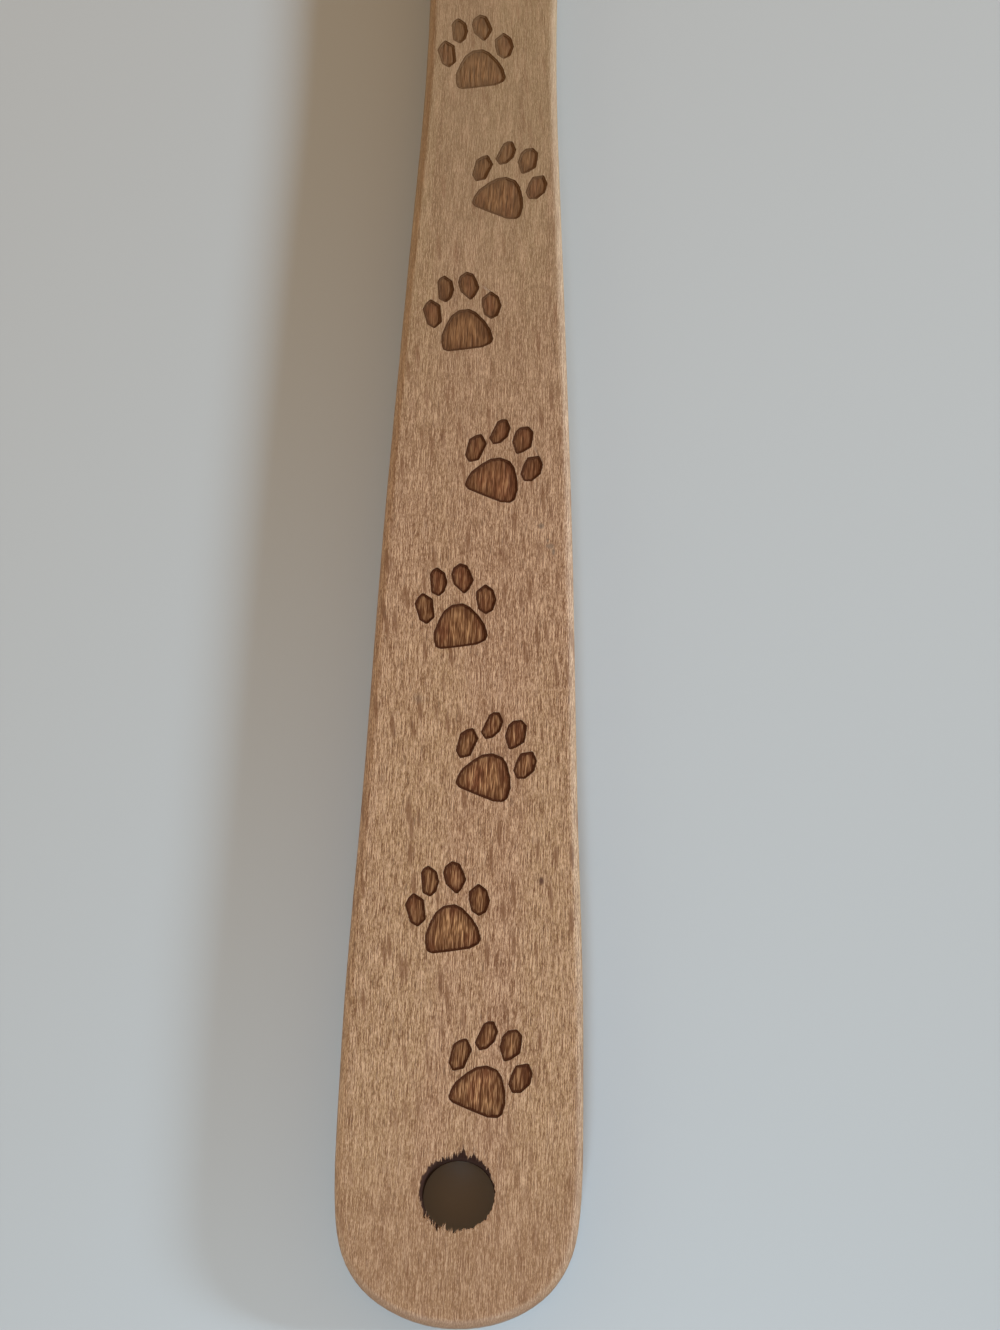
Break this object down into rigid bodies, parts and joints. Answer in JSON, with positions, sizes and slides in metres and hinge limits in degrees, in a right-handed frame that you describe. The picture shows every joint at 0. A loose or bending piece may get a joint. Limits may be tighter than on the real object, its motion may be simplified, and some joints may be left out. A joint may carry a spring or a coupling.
{
  "type": "wooden love spoon",
  "caption": "Plain beech love spoon with a flat tapering handle, a hanging hole, a row of burnt paw prints and a hollowed oval bowl.",
  "frame": {"origin": "on the axis of the hanging hole, in the plane of the back on which the spoon lies", "axes": "+Y from the hanging hole to the bowl, +Z out of the engraved face, X across the spoon"},
  "size_m": [0.06, 0.3003, 0.0155],
  "materials": {
    "beech": "sanded, unvarnished beech with fine grain along the handle",
    "scorched_beech": "matt charred beech, darker along its edges"
  },
  "bodies": {
    "root": {"handle": "beech", "bowl": "beech", "paw_print_1": "scorched_beech", "paw_print_2": "scorched_beech", "paw_print_3": "scorched_beech", "paw_print_4": "scorched_beech", "paw_print_5": "scorched_beech", "paw_print_6": "scorched_beech", "paw_print_7": "scorched_beech", "paw_print_8": "scorched_beech"}
  },
  "joints": []
}
